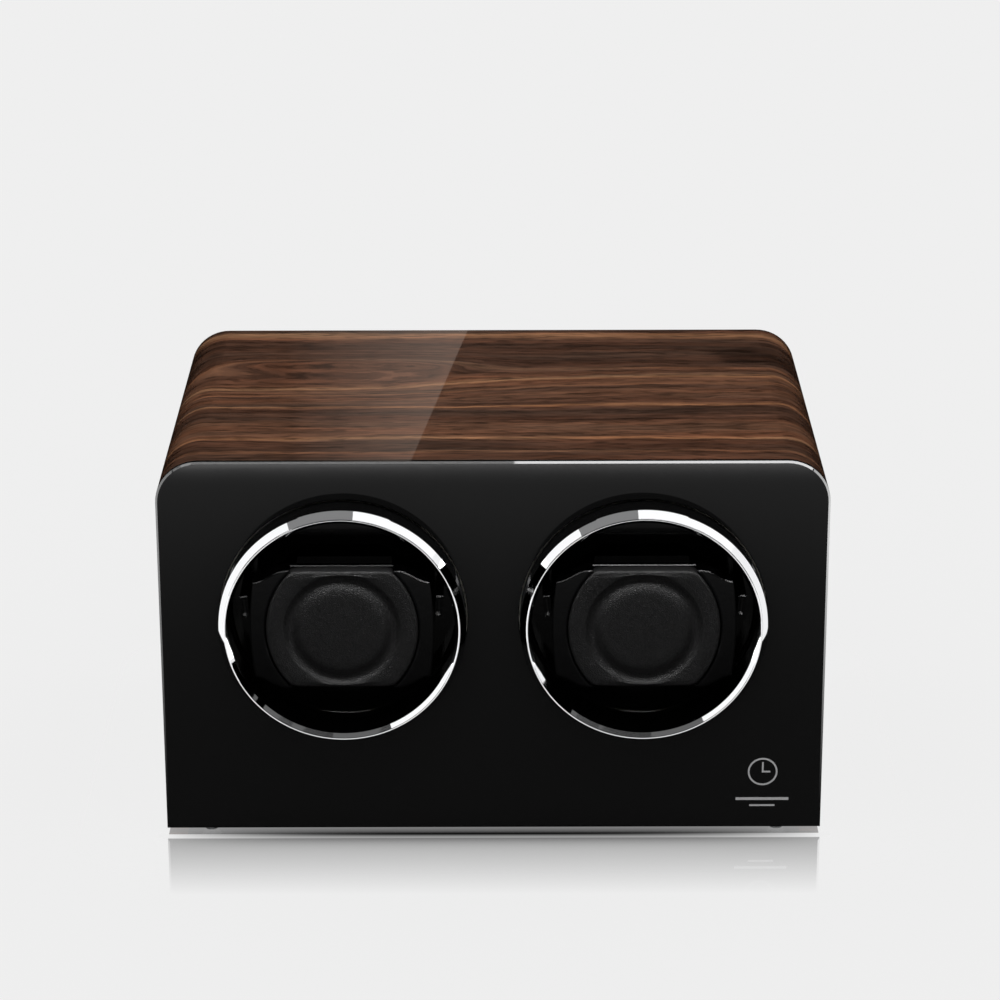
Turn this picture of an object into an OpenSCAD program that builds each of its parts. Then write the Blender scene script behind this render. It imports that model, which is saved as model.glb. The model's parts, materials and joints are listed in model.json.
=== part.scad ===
// Table-top winder for two automatic watches.
// A veneered cabinet carries two turning cups with bright rims. Each cup holds a padded
// watch holder that pulls out to the front, and is turned by its own gear motor.
//
// Frame: +Z up, front towards -Y, +X to the right of someone facing the front.
// Origin: on the table, under the middle of the whole object.
// Depths in this file are counted back from the face of the front panel, in millimetres.

/* [Cabinet] */
// Width across the veneered sides
case_w = 310; // [304:1:330]
// Height without the feet
case_h = 184; // [180:1:196]
// Depth from the face of the front panel to the rear edge of the wrap
case_d = 206; // [204:1:230]
// Outer radius of the two top corners
corner_r = 20; // [14:1:24]
// Thickness of the veneered wrap and of the base board
wrap_t = 9; // [8:0.5:10]
// Height of the clear bumper feet
foot_h = 3; // [2:0.5:5]

/* [Front] */
// Thickness of the black glass front panel
panel_t = 3; // [2.5:0.5:4]
// Thickness of the board behind the glass
board_t = 8; // [7:0.5:9]

/* [Rotors] */
// Distance between the axes of the two cups
rotor_pitch = 139; // [136:1:144]
// Height of the cup axes above the lower edge of the cabinet
rotor_up = 108; // [100:1:110]
// Outer radius of the bright rim
rim_r = 57.2; // [56.8:0.1:58.5]
// How far the rim stands out of the front panel
rim_out = 17.6; // [16:0.1:20]
// Depth of the flat cup floor behind the lip of the rim
floor_back = 30.6; // [29:0.1:32]

/* [Watch holder] */
// Width of the padded front
pad_w = 71; // [66:0.5:74]
// Height of the padded front between its flat top and bottom
pad_h = 57.8; // [56:0.2:60]
// Radius of the raised round centre of the pad
boss_r = 21.5; // [19:0.5:22.5]
// Travel of the sprung saddle when a closed bracelet is slipped on
saddle_travel = 6; // [4:0.5:7]

/* [Drive] */
// Teeth of the gear on each cup
gear_teeth = 60; // [56:4:64]
// Teeth of the motor pinion
pinion_teeth = 20; // [20:4:24]
// Gear module
gear_module = 1; // [0.9:0.05:1]

/* [Controls] */
// Radius of the two mode knobs
knob_r = 9; // [8:0.5:11]
// Travel of the power rocker in degrees
rocker_swing = 22; // [18:1:24]

/* [Hidden] */
$fn = 96;

LEFT = -1;
RIGHT = 1;

// Cabinet
face_y = (rim_out - case_d) / 2;
case_top = foot_h + case_h;
inner_w = case_w - 2 * wrap_t;
inner_h = case_h - 2 * wrap_t;
floor_z = foot_h + wrap_t;
inner_r = corner_r - wrap_t;
back_gap = 0.3;
panel_bevel = 1;
hole_bevel = 0.4;
foot_top_r = 4.7;
foot_low_r = 2.9;
foot_x = 134.5;
foot_inset = 8;

// Rotors
rotor_x = rotor_pitch / 2;
rotor_z = foot_h + rotor_up;
hole_r = rim_r + 0.4;
bevel_depth = 4.4;
lip_round = 0.5;
cup_in_r = rim_r - 3.7;
cup_out_r = rim_r - 1.3;
lip_chamfer = 1.5;
rim_in_depth = 3.6;
rim_back = 1;
cup_front = rim_in_depth - rim_out;
ledge = floor_back - rim_out;
ledge_t = 3;
pocket_r = 36;
pocket_half_h = 31;
pocket_wall = 2.5;
pocket_floor = ledge + 33;
hub_r = 9;
hub_back = pocket_floor + 14;
guide_out_r = 60;
guide_in_r = cup_out_r + 0.5;

// Watch holder
pad_face = 1 - rim_out;
pad_back = pad_face + 8;
side_arc_r = 41;
boss_out = 1;
groove_w = 5;
groove_deep = 1.4;
frame_t = 2.5;
frame_back = pad_back + frame_t;
wing_face = pad_face + 0.6;
wing_w = 84.6;
wing_tip_x = 40.6;
wing_tip_z = 23.3;
wing_flat_x = 26;
cheek_in = 37.3;
cheek_t = 2;
cheek_half_h = 13;
cheek_back = ledge - 0.4;
solid_spring = 6;
saddle_front = frame_back + saddle_travel + solid_spring;
saddle_r = 28.5;
saddle_axis = saddle_front - 3;
saddle_half_h = 22;
saddle_half_w = 22;
saddle_wall = 4;
pin_x = 13;
pin_r = 2;
pin_head_r = 3.4;
pin_head_t = 2;
coil_r = 3.3;
coil_wire_r = 0.45;
coil_turns = 6;
catch_x = 44.6;
catch_z = 11;
catch_half_h = 5;
catch_t = 3.4;
catch_edge = 0.9;
catch_lean = 5;
catch_front = wing_face + 1.5;

// Drive
spindle_r = 3;
spindle_front = pocket_floor + 5;
gear_front = hub_back + 2;
gear_face_w = 7;
gear_hub_back = hub_back + 13.6;
plate_front = hub_back + 16;
plate_t = 2.5;
plate_back = plate_front + plate_t;
running = 0.05; // radial clearance of a turning or sliding fit
bush_r = 7;
bush_flange_r = 10;
bush_flange_t = 2;
bush_back = plate_front + 6;
ring_front = bush_back + 0.2;
ring_t = 0.8;
spindle_back = bush_back + 7;
centre_distance = gear_module * (gear_teeth + pinion_teeth) / 2;
motor_z = rotor_z - centre_distance;
motor_r = 18.5;
motor_shaft_r = 2.5;
motor_shaft_in = 6;
motor_boss_r = 5.9;
motor_can_r = 16.5;
gearbox_d = 20;
can_d = 29;
gearbox_back = plate_back + gearbox_d;
motor_back = gearbox_back + can_d;
motor_screw_pcd_r = 15;
motor_screw_r = 1.5;
motor_screw_long = 8;
plate_screw_long = 12;
terminal_x = 9;
terminal_long = 6;
batten = 12;

// Rear and controls
back_t = 4;
back_rear = case_d - 12;
back_front = back_rear - back_t;
back_screw_long = 18;
cleat = 20;
cleat_x = inner_w / 2 - cleat / 2;
cleat_low_z = floor_z + cleat / 2;
cleat_high_z = case_top - corner_r - cleat / 2 - 2;
plate_w = 150;
plate_h = 44;
window_side = 10;
window_edge = 3;
wood_screw_r = 1.75;
wood_screw_play = 0.15;
control_screw_r = 1.5;
control_z = 58;
control_rear = back_rear + 2;
knob_x = 52;
rocker_x = -14;
inlet_x = 16;
board_w = 126;
board_h = 38;
board_thick = 1.6;
board_rear = back_front - 12.4;
board_front = board_rear - board_thick;
plug_x = 40;
plug_up = 2;
plug_d = 7;
lead_r = 0.8;
board_screw_r = 1.25;
standoff_r = 3;
selector_shaft_r = 3;
selector_neck_r = 4;
switch_w = 12.6;
switch_h = 19;
rocker_w = 9.4;
rocker_half_h = 7.4;
rocker_pin_r = 1;
inlet_w = 9;
socket_r = 3.2;
socket_d = 8;
rocker_pivot = control_rear - 2;
knob_front = control_rear + 0.6;
knob_back = case_d - 0.5;
knob_cap = 3;
knob_skirt = 2;

walnut = [0.27, 0.15, 0.09];
gloss_black = [0.03, 0.03, 0.035];
soft_black = [0.08, 0.08, 0.08];
board_brown = [0.45, 0.34, 0.24];
chrome = [0.85, 0.86, 0.88];
steel = [0.6, 0.62, 0.64];
bronze = [0.68, 0.5, 0.28];
nylon = [0.88, 0.87, 0.82];
clear_grey = [0.75, 0.76, 0.78];
board_green = [0.07, 0.27, 0.16];
copper_red = [0.6, 0.12, 0.1];

// ---- Placing ----

// Extrudes a drawing made in X (right) and Y (up) between two depths.
module slab(from, to) {
  translate([0, face_y + to, 0])
    rotate([90, 0, 0])
      linear_extrude(to - from)
        children();
}

// Turns a drawing made in radius and depth about an axis along Y.
module turned(x, z) {
  translate([x, face_y, z])
    rotate([-90, 0, 0])
      rotate_extrude()
        children();
}

// A round bar along Y between two depths.
module rod(x, z, r, from, to) {
  translate([x, face_y + from, z])
    rotate([-90, 0, 0])
      cylinder(r = r, h = to - from);
}

// A box from one corner to the other, with its depths counted from the front panel.
module block(x, depth, z) {
  translate([x[0], face_y + depth[0], z[0]])
    cube([x[1] - x[0], depth[1] - depth[0], z[1] - z[0]]);
}

// The cabinet's outline: square at the bottom, round at the two top corners.
module arch(w, h, r) {
  translate([-w / 2, 0])
    square([w, h - r]);
  translate([r - w / 2, h - r - 1])
    square([w - 2 * r, r + 1]);
  for (side = [LEFT, RIGHT])
    translate([side * (w / 2 - r), h - r])
      circle(r);
}

// A circle with its top and bottom cut flat.
module barrel(r, half_h) {
  intersection() {
    circle(r);
    square([2 * r, 2 * half_h], center = true);
  }
}

// ---- Cabinet ----

module cabinet_wrap() {
  color(walnut)
    difference() {
      translate([0, 0, foot_h])
        slab(panel_t, case_d)
          arch(case_w, case_h, corner_r);
      translate([0, 0, foot_h - 1])
        slab(panel_t - 1, case_d + 1)
          arch(inner_w, case_h - wrap_t + 1, inner_r);
    }
}

module base_board() {
  color(soft_black)
    block([-inner_w / 2, inner_w / 2], [panel_t, case_d], [foot_h, floor_z]);
}

// The arch as a plate with a polished bevel all round its front.
module bevelled_arch(w, h, r, t, bevel) {
  straight = w / 2 - r;
  intersection() {
    union() {
      translate([0, face_y, foot_h])
        linear_extrude(h - r)
          polygon([[-w / 2, t], [-w / 2, bevel], [bevel - w / 2, 0], [w / 2 - bevel, 0],
                   [w / 2, bevel], [w / 2, t]]);
      translate([-straight, face_y, foot_h])
        rotate([90, 0, 90])
          linear_extrude(2 * straight)
            polygon([[t, h - r - 1], [t, h], [bevel, h], [0, h - bevel], [0, h - r - 1]]);
      for (side = [LEFT, RIGHT])
        turned(side * straight, foot_h + h - r)
          polygon([[0, 0], [r - bevel, 0], [r, bevel], [r, t], [0, t]]);
    }
    translate([-w, face_y, foot_h])
      rotate([90, 0, 90])
        linear_extrude(2 * w)
          polygon([[0, bevel], [bevel, 0], [t, 0], [t, h], [0, h]]);
  }
}

module front_panel() {
  color(gloss_black)
    difference() {
      bevelled_arch(case_w, case_h, corner_r, panel_t, panel_bevel);
      for (side = [LEFT, RIGHT])
        turned(side * rotor_x, rotor_z)
          polygon([[0, -1], [hole_r + hole_bevel + 1, -1], [hole_r, hole_bevel],
                   [hole_r, panel_t + 1], [0, panel_t + 1]]);
    }
}

module front_board() {
  color(board_brown)
    difference() {
      translate([0, 0, floor_z])
        slab(panel_t, panel_t + board_t)
          arch(inner_w, inner_h, inner_r);
      for (side = [LEFT, RIGHT])
        rod(side * rotor_x, rotor_z, guide_out_r, panel_t - 1, panel_t + board_t + 1);
    }
}

// A plain clock-face badge with two bars under it.
module front_badge() {
  badge_x = case_w / 2 - 28;
  badge_z = foot_h + 29;
  badge_t = 0.3;
  ring_r = 7;
  ring_w = 0.8;
  hand_w = 0.8;
  long_hand = 4.8;
  short_hand = 3.6;
  bars = [[15, 25, 1.3], [11.6, 12, 0.8]]; // height above the lower edge, length, thickness
  color(chrome)
    difference() {
      union() {
        rod(badge_x, badge_z, ring_r, -badge_t, 0);
        for (b = bars)
          block([badge_x - b[1] / 2, badge_x + b[1] / 2], [-badge_t, 0],
                [foot_h + b[0] - b[2] / 2, foot_h + b[0] + b[2] / 2]);
      }
      difference() {
        rod(badge_x, badge_z, ring_r - ring_w, -1, 1);
        block([badge_x - hand_w / 2, badge_x + hand_w / 2], [-badge_t, 0],
              [badge_z - hand_w / 2, badge_z + long_hand]);
        block([badge_x - hand_w / 2, badge_x + short_hand], [-badge_t, 0],
              [badge_z - hand_w / 2, badge_z + hand_w / 2]);
      }
    }
}

module back_panel() {
  color(soft_black)
    difference() {
      translate([0, 0, floor_z])
        slab(back_front, back_rear)
          translate([0, back_gap])
            arch(inner_w - 2 * back_gap, inner_h - 2 * back_gap, inner_r - back_gap);
      block([window_side - plate_w / 2, plate_w / 2 - window_side],
            [back_front - 1, back_rear + 1],
            [control_z - plate_h / 2 + window_edge, control_z + plate_h / 2 - window_edge]);
      control_screw_places()
        rod(0, 0, control_screw_r, back_front - 1, back_rear + 1);
      back_screw_places()
        rod(0, 0, wood_screw_r + wood_screw_play, back_front - 1, back_rear + 1);
    }
}

module back_screw_places() {
  for (side = [LEFT, RIGHT], z = [cleat_low_z, cleat_high_z])
    translate([side * (cleat_x - 2), 0, z])
      children();
}

module rear_cleats() {
  color(board_brown)
    difference() {
      for (side = [LEFT, RIGHT], z = [cleat_low_z, cleat_high_z])
        block([side * cleat_x - cleat / 2, side * cleat_x + cleat / 2],
              [back_front - cleat, back_front], [z - cleat / 2, z + cleat / 2]);
      back_screw_places()
        rod(0, 0, wood_screw_r, back_rear - back_screw_long - 2, back_front + 1);
    }
}

// A pan-head screw along Y with a cross slot. Its head's seat is at the given depth, and the
// shank runs towards the front when way is -1 and towards the rear when it is +1.
module pan_screw(seat, length, r, way = -1) {
  head_r = 2 * r;
  head_t = 1.2 * r;
  slot_w = 0.5 * r;
  difference() {
    union() {
      rod(0, 0, r, min(seat, seat + way * length), max(seat, seat + way * length));
      rod(0, 0, head_r, min(seat, seat - way * head_t), max(seat, seat - way * head_t));
    }
    for (half = [[slot_w, head_r * 0.8], [head_r * 0.8, slot_w]])
      block([-half[0], half[0]],
            [min(seat - way * head_t * 0.5, seat - way * head_t * 2),
             max(seat - way * head_t * 0.5, seat - way * head_t * 2)],
            [-half[1], half[1]]);
  }
}

module back_panel_screws() {
  color(steel)
    back_screw_places()
      pan_screw(back_rear, back_screw_long, wood_screw_r);
}

module bumper_feet() {
  color(clear_grey)
    for (side = [LEFT, RIGHT], depth = [foot_inset, case_d - foot_inset])
      translate([side * foot_x, face_y + depth, 0])
        cylinder(r1 = foot_low_r, r2 = foot_top_r, h = foot_h);
}

// ---- Chassis behind the cups ----

module drive_plate() {
  color(steel)
    difference() {
      block([-inner_w / 2 + 1, inner_w / 2 - 1], [plate_front, plate_back],
            [floor_z, case_top - corner_r]);
      for (side = [LEFT, RIGHT]) {
        rod(side * rotor_x, rotor_z, bush_r, plate_front - 1, plate_back + 1);
        rod(side * rotor_x, motor_z, motor_boss_r + 0.1, plate_front - 1, plate_back + 1);
      }
      motor_screw_places()
        rod(0, 0, motor_screw_r, plate_front - 1, plate_back + 1);
      plate_screw_places()
        rod(0, 0, wood_screw_r, plate_front - 1, plate_back + 1);
    }
}

module plate_screw_places() {
  for (side = [LEFT, RIGHT], z = [floor_z + 16, rotor_z - 20, case_top - corner_r - 14])
    translate([side * (inner_w / 2 - batten / 2), 0, z])
      children();
}

module plate_battens() {
  color(board_brown)
    difference() {
      for (side = [LEFT, RIGHT])
        block([side * (inner_w - batten) / 2 - batten / 2,
               side * (inner_w - batten) / 2 + batten / 2],
              [plate_back, plate_back + batten], [floor_z, case_top - corner_r]);
      plate_screw_places()
        rod(0, 0, wood_screw_r, plate_back - 1, plate_front + plate_screw_long);
    }
}

module motor_screw_places() {
  for (side = [LEFT, RIGHT], turn = [0, 180])
    translate([side * rotor_x + motor_screw_pcd_r * cos(turn), 0, motor_z])
      children();
}

// The screws through the drive plate: six into the battens and two into each gearbox.
module chassis_screws() {
  color(steel) {
    plate_screw_places()
      pan_screw(plate_front, plate_screw_long, wood_screw_r, way = 1);
    motor_screw_places()
      pan_screw(plate_front, motor_screw_long, motor_screw_r, way = 1);
  }
}

// Flanged bronze bushes for the cup spindles.
module spindle_bushes() {
  color(bronze)
    for (side = [LEFT, RIGHT])
      turned(side * rotor_x, rotor_z)
        polygon([[spindle_r + running, plate_front - bush_flange_t],
                 [bush_flange_r, plate_front - bush_flange_t], [bush_flange_r, plate_front],
                 [bush_r, plate_front], [bush_r, bush_back], [spindle_r + running, bush_back]]);
}

// Nylon rings in the front board that the cups would touch if they were pushed sideways.
module glide_rings() {
  color(nylon)
    for (side = [LEFT, RIGHT])
      turned(side * rotor_x, rotor_z)
        polygon([[guide_in_r, panel_t + 1], [guide_out_r, panel_t + 1],
                 [guide_out_r, panel_t + board_t], [guide_in_r, panel_t + board_t]]);
}

// ---- Rotor ----

// Rounded profile of the lip between the outer bevel and the inner chamfer of the rim.
function lip_arc() =
  [for (a = [45:15:180])
     [cup_in_r + lip_round * (1 - cos(a)), lip_round * (1 - sin(a)) - rim_out]];

// The rim is pushed over the cup's wall, and its inner chamfer covers the wall's front end.
module chrome_rim(side) {
  chamfer_r = cup_in_r - lip_chamfer;
  color(chrome)
    turned(side * rotor_x, rotor_z)
      polygon(concat([[cup_out_r, rim_back], [cup_out_r, cup_front], [chamfer_r, cup_front],
                      [chamfer_r, lip_round + lip_chamfer - rim_out]],
                     lip_arc(),
                     [[rim_r - 0.2, bevel_depth - rim_out - 0.3],
                      [rim_r, bevel_depth - rim_out + 0.2], [rim_r, rim_back]]));
}

module cup_wall(side) {
  color(gloss_black)
    translate([side * rotor_x, 0, rotor_z])
      difference() {
        rod(0, 0, cup_out_r, cup_front, ledge);
        rod(0, 0, cup_in_r, cup_front - 1, ledge + 1);
      }
}

// Flat floor with the pocket for the saddle and the hub for the spindle.
module cup_floor(side) {
  color(gloss_black)
    translate([side * rotor_x, 0, rotor_z])
      difference() {
        union() {
          rod(0, 0, cup_out_r, ledge, ledge + ledge_t);
          slab(ledge, pocket_floor + pocket_wall)
            barrel(pocket_r + pocket_wall, pocket_half_h + pocket_wall);
          rod(0, 0, hub_r, pocket_floor, hub_back);
        }
        slab(ledge - 1, pocket_floor)
          barrel(pocket_r, pocket_half_h);
        rod(0, 0, spindle_r, spindle_front, hub_back + 1);
      }
}

// Two upright catches on the cup floor that grip the side edges of the watch holder.
module holder_catches(side) {
  color(gloss_black)
    translate([side * rotor_x, 0, rotor_z])
      for (way = [LEFT, RIGHT])
        translate([way * catch_x, 0, catch_z])
          rotate([0, way * catch_lean, 0])
            difference() {
              block([-catch_t / 2, catch_t / 2], [catch_front, ledge], [-catch_half_h, catch_half_h]);
              block([-catch_t / 2 + catch_edge, catch_t / 2 - catch_edge],
                    [catch_front - 1, catch_front + 1.2],
                    [catch_edge - catch_half_h, catch_half_h - catch_edge]);
            }
}

module spindle(side) {
  groove_r = spindle_r - 0.5;
  color(steel)
    difference() {
      rod(side * rotor_x, rotor_z, spindle_r, spindle_front, spindle_back);
      difference() {
        rod(side * rotor_x, rotor_z, spindle_r + 1, ring_front, ring_front + ring_t);
        rod(side * rotor_x, rotor_z, groove_r, ring_front - 1, ring_front + ring_t + 1);
      }
    }
}

module retaining_ring(side) {
  color(steel)
    difference() {
      rod(side * rotor_x, rotor_z, spindle_r + 3, ring_front, ring_front + ring_t);
      rod(side * rotor_x, rotor_z, spindle_r - 0.5, ring_front - 1, ring_front + ring_t + 1);
      block([side * rotor_x - 1.6, side * rotor_x + 1.6],
            [ring_front - 1, ring_front + ring_t + 1], [rotor_z, rotor_z + 8]);
    }
}

// ---- Gears ----

pressure_angle = 20;
backlash = 0.2;
flank_steps = 5;

function involute_angle(base_r, r) =
  let (t = sqrt(max(0, pow(r / base_r, 2) - 1))) t * 180 / PI - atan(t);

// One side of a tooth, from root to tip, as [radius, angle from the tooth's middle].
function flank(teeth) =
  let (pitch_r = gear_module * teeth / 2,
       base_r = pitch_r * cos(pressure_angle),
       root_r = pitch_r - 1.25 * gear_module,
       tip_r = pitch_r + gear_module,
       half = (90 - backlash / gear_module * 90 / PI) / teeth
              + involute_angle(base_r, pitch_r))
  concat([[root_r, half - involute_angle(base_r, max(base_r, root_r))]],
         [for (i = [0:flank_steps])
            let (start_r = max(base_r, root_r + 0.2),
                 r = start_r + (tip_r - start_r) * i / flank_steps)
            [r, half - involute_angle(base_r, r)]]);

module gear_outline(teeth) {
  side = flank(teeth);
  last = len(side) - 1;
  polygon([for (tooth = [0:teeth - 1], i = [0:2 * last + 1])
             let (p = i <= last ? side[i] : side[2 * last + 1 - i],
                  a = tooth * 360 / teeth + (i <= last ? -p[1] : p[1]))
             p[0] * [cos(a), sin(a)]]);
}

module drive_gear(side) {
  web_r = gear_module * gear_teeth / 2 - 5;
  web_deep = 2;
  gear_hub_r = hub_r - 1;
  light_hole_r = 5;
  light_hole_ring_r = 17;
  color(nylon)
    translate([side * rotor_x, 0, rotor_z])
      difference() {
        union() {
          slab(gear_front, gear_front + gear_face_w)
            gear_outline(gear_teeth);
          rod(0, 0, gear_hub_r, hub_back, gear_hub_back);
        }
        for (depth = [gear_front - 1, gear_front + gear_face_w - web_deep])
          difference() {
            rod(0, 0, web_r, depth, depth + web_deep + 1);
            rod(0, 0, gear_hub_r, depth - 1, depth + web_deep + 2);
          }
        for (turn = [0:60:300])
          rod(light_hole_ring_r * cos(turn), light_hole_ring_r * sin(turn), light_hole_r,
              gear_front - 1, gear_front + gear_face_w + 1);
        rod(0, 0, spindle_r, hub_back - 1, gear_hub_back + 1);
      }
}

module motor_pinion(side) {
  color(bronze)
    translate([side * rotor_x, 0, motor_z]) {
      slab(gear_front - 0.5, gear_front + gear_face_w + 0.5)
        rotate(180 / pinion_teeth)
          gear_outline(pinion_teeth);
      rod(0, 0, motor_shaft_r, gear_front - 1.5, plate_back + motor_shaft_in);
    }
}

module gearbox(side) {
  color(steel)
    translate([side * rotor_x, 0, motor_z])
      difference() {
        union() {
          rod(0, 0, motor_r, plate_back, gearbox_back);
          rod(0, 0, motor_boss_r, plate_front + 0.5, plate_back);
        }
        rod(0, 0, motor_shaft_r + running, plate_front, plate_back + motor_shaft_in + 1);
        for (way = [LEFT, RIGHT])
          rod(way * motor_screw_pcd_r, 0, motor_screw_r, plate_back - 1,
              plate_front + motor_screw_long);
      }
}

// Motor can with its rear bearing boss and two terminals.
module motor_can(side) {
  terminal = [1.2, terminal_long, 3];
  color(steel)
    translate([side * rotor_x, 0, motor_z]) {
      rod(0, 0, motor_can_r, gearbox_back, motor_back);
      rod(0, 0, 2 * motor_shaft_r, motor_back, motor_back + 2);
      for (way = [LEFT, RIGHT])
        block([way * terminal_x - terminal[0] / 2, way * terminal_x + terminal[0] / 2],
              [motor_back, motor_back + terminal[1]], [-terminal[2] / 2, terminal[2] / 2]);
    }
}

// ---- Watch holder ----

// Two shallow arcs at the sides, cut flat at the top and bottom.
module pad_outline(gap = 0) {
  intersection() {
    translate([side_arc_r - pad_w / 2, 0])
      circle(side_arc_r + gap);
    translate([pad_w / 2 - side_arc_r, 0])
      circle(side_arc_r + gap);
    square([pad_w + 10, pad_h + 2 * gap], center = true);
  }
}

module cushion(side) {
  color(soft_black)
    translate([side * rotor_x, 0, rotor_z])
      difference() {
        union() {
          slab(pad_face, pad_back)
            pad_outline();
          rod(0, 0, boss_r, pad_face - boss_out, pad_face);
        }
        difference() {
          rod(0, 0, boss_r + groove_w, pad_face - 1, pad_face + groove_deep);
          rod(0, 0, boss_r, pad_face - 2, pad_face + groove_deep + 1);
        }
      }
}

// One corner of the wings: flat beside the pad, then an S down to the tip.
function wing_corner(steps = 8) =
  [for (i = [0:steps])
     let (t = i / steps)
     [wing_flat_x + (wing_tip_x - wing_flat_x) * t,
      wing_tip_z + (pad_h / 2 - wing_tip_z) * (1 + cos(180 * t)) / 2]];

// The side of the wings bulges between its two tips.
function wing_side(steps = 10) =
  [for (i = [1:steps - 1])
     let (t = 1 - 2 * i / steps)
     [wing_tip_x + (wing_w / 2 - wing_tip_x) * (1 - t * t), wing_tip_z * t]];

module wing_outline() {
  upper = wing_corner();
  lower = [for (i = [len(upper) - 1:-1:0]) [upper[i][0], -upper[i][1]]];
  for (way = [0, 1])
    mirror([way, 0])
      polygon(concat([[-1, pad_h / 2]], upper, wing_side(), lower, [[-1, -pad_h / 2]]));
}

// Back plate with a wing at each side of the pad, and a cheek behind each wing.
module holder_frame(side) {
  color(gloss_black)
    translate([side * rotor_x, 0, rotor_z])
      difference() {
        union() {
          slab(wing_face, frame_back)
            wing_outline();
          for (way = [LEFT, RIGHT])
            block([way > 0 ? cheek_in : -cheek_in - cheek_t,
                   way > 0 ? cheek_in + cheek_t : -cheek_in],
                  [frame_back, cheek_back], [-cheek_half_h, cheek_half_h]);
        }
        slab(wing_face - 1, pad_back)
          pad_outline(0.05);
        for (way = [LEFT, RIGHT])
          rod(way * pin_x, 0, pin_r, pad_back - 1, frame_back + 1);
      }
}

// Two shouldered pins; the saddle rests against their heads.
module guide_pins(side) {
  head_front = saddle_front + saddle_wall + 0.3;
  color(steel)
    for (way = [LEFT, RIGHT])
      translate([side * rotor_x + way * pin_x, 0, rotor_z]) {
        rod(0, 0, pin_r, pad_back, head_front);
        rod(0, 0, pin_head_r, head_front, head_front + pin_head_t);
      }
}

// The rear half of the holder, which a bracelet closes round. It is hollow and slides on the
// guide pins.
module rear_saddle(side) {
  color(soft_black)
    translate([side * rotor_x, 0, rotor_z])
      difference() {
        intersection() {
          translate([-saddle_half_w, face_y + saddle_axis, 0])
            rotate([0, 90, 0])
              cylinder(r = saddle_r, h = 2 * saddle_half_w);
          block([-saddle_half_w - 1, saddle_half_w + 1], [saddle_front, saddle_front + 60],
                [-saddle_half_h, saddle_half_h]);
        }
        intersection() {
          translate([-saddle_half_w - 1, face_y + saddle_axis, 0])
            rotate([0, 90, 0])
              cylinder(r = saddle_r - saddle_wall, h = 2 * saddle_half_w + 2);
          block([-saddle_half_w - 1, saddle_half_w + 1],
                [saddle_front + saddle_wall, saddle_front + 60],
                [-saddle_half_h + saddle_wall, saddle_half_h - saddle_wall]);
        }
        for (way = [LEFT, RIGHT])
          rod(way * pin_x, 0, pin_r + running, saddle_front - 1, saddle_front + saddle_wall + 1);
      }
}

// ---- Swept tubes ----

function unit(v) = v / norm(v);

// Rings round each point of a path; none of the paths here runs straight along Z.
function tube_points(path, r, sides) =
  [for (i = [0:len(path) - 1])
     let (a = path[max(i - 1, 0)], b = path[min(i + 1, len(path) - 1)],
          along = unit(b - a), right = unit(cross(along, [0, 0, 1])), up = cross(right, along))
     for (k = [0:sides - 1])
       path[i] + r * (cos(360 * k / sides) * right + sin(360 * k / sides) * up)];

function tube_faces(rings, sides) =
  concat([[for (k = [0:sides - 1]) k]],
         [for (i = [0:rings - 2], k = [0:sides - 1])
            let (n = (k + 1) % sides)
            [i * sides + k, (i + 1) * sides + k, (i + 1) * sides + n, i * sides + n]],
         [[for (k = [sides - 1:-1:0]) (rings - 1) * sides + k]]);

module tube(path, r, sides = 8) {
  polyhedron(points = tube_points(path, r, sides), faces = tube_faces(len(path), sides),
             convexity = 4);
}

module coil_spring(x, z, from, to) {
  steps = 14;
  translate([x, face_y, z])
    tube([for (i = [0:coil_turns * steps])
            let (a = 360 * i / steps)
            [coil_r * cos(a), from + (to - from) * i / (coil_turns * steps), coil_r * sin(a)]],
         coil_wire_r, 6);
}

module saddle_springs(side) {
  color(steel)
    for (way = [LEFT, RIGHT])
      coil_spring(side * rotor_x + way * pin_x, rotor_z, frame_back + coil_wire_r + 0.1,
                  saddle_front - coil_wire_r - 0.1);
}

// Smooths a list of points with a Catmull-Rom curve.
function smooth(p, steps) =
  [for (i = [0:len(p) - 2], s = [0:steps - 1])
     let (a = p[max(i - 1, 0)], b = p[i], c = p[i + 1], d = p[min(i + 2, len(p) - 1)],
          t = s / steps)
     0.5 * (2 * b + (c - a) * t + (2 * a - 5 * b + 4 * c - d) * t * t
            + (3 * b - a - 3 * c + d) * t * t * t),
   p[len(p) - 1]];

// The two leads from a motor's terminals to its plug on the circuit board.
module motor_leads(side) {
  start = [side * rotor_x, motor_back + terminal_long, motor_z];
  middle = [side * (rotor_x - 10), motor_back + 19, motor_z - 6];
  end = [side * plug_x, board_front - plug_d, control_z + plug_up];
  color(copper_red)
    for (way = [LEFT, RIGHT])
      translate([0, face_y, 0])
        tube(smooth([start + [way * terminal_x, 0, 0], start + [way * terminal_x, 5, 0],
                     middle + [way * 5, 0, 0],
                     end + [way * 1.3, -10, 0], end + [way * 1.3, -4, 0],
                     end + [way * 1.3, 0, 0]], 5), lead_r);
}

// ---- Rear controls ----

module control_plate() {
  color(soft_black)
    difference() {
      block([-plate_w / 2, plate_w / 2], [back_rear, control_rear],
            [control_z - plate_h / 2, control_z + plate_h / 2]);
      for (side = [LEFT, RIGHT])
        rod(side * knob_x, control_z, selector_neck_r + 0.2, back_rear - 1, control_rear + 1);
      block([rocker_x - switch_w / 2 - 0.1, rocker_x + switch_w / 2 + 0.1],
            [back_rear - 1, control_rear + 1],
            [control_z - switch_h / 2 - 0.1, control_z + switch_h / 2 + 0.1]);
      rod(inlet_x, control_z, inlet_w / 2 + 0.5, back_rear - 1, control_rear + 1);
      control_screw_places()
        rod(0, 0, control_screw_r, back_rear - 1, control_rear + 1);
    }
}

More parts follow.
